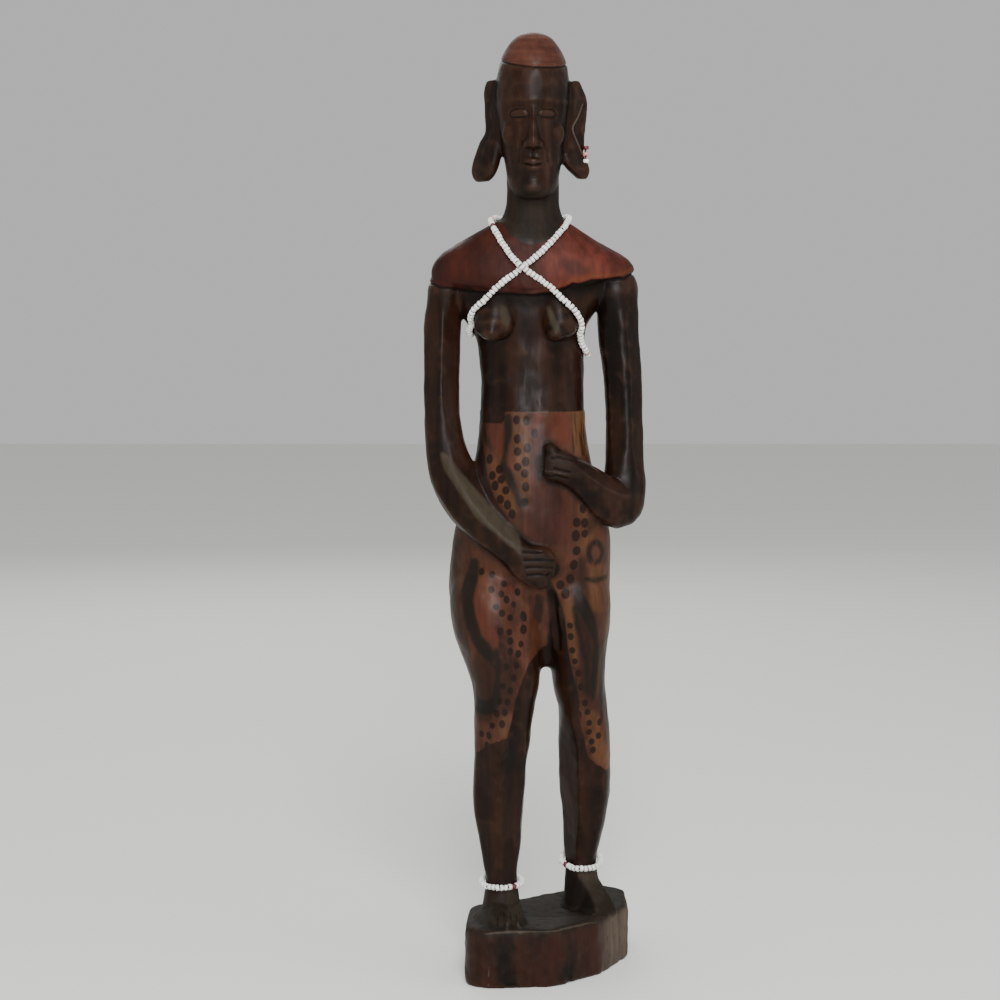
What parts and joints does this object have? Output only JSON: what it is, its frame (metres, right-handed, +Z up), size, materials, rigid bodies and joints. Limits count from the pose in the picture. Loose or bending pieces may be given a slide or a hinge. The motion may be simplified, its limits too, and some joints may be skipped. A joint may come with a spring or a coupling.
{
  "type": "carved wooden figurine",
  "caption": "Slender carved wooden woman with long arms and pierced ears, standing on a rough block and dressed with strings of white seed beads.",
  "frame": {"origin": "middle of the bounding box, on the underside of the block", "axes": "+Z up from the block to the head, -Y the side the woman faces, +X the right side as seen from the front"},
  "size_m": [0.0718, 0.0612, 0.3051],
  "materials": {
    "carved_wood": "hand-rubbed dark stain with red-brown areas and a painted wrap",
    "white_beads": "opaque white glass seed beads, glossy"
  },
  "bodies": {
    "root": {"carved_figure": "carved_wood", "chest_beads": "white_beads", "ear_beads": "white_beads", "left_ankle_beads": "white_beads", "right_ankle_beads": "white_beads"}
  },
  "joints": []
}
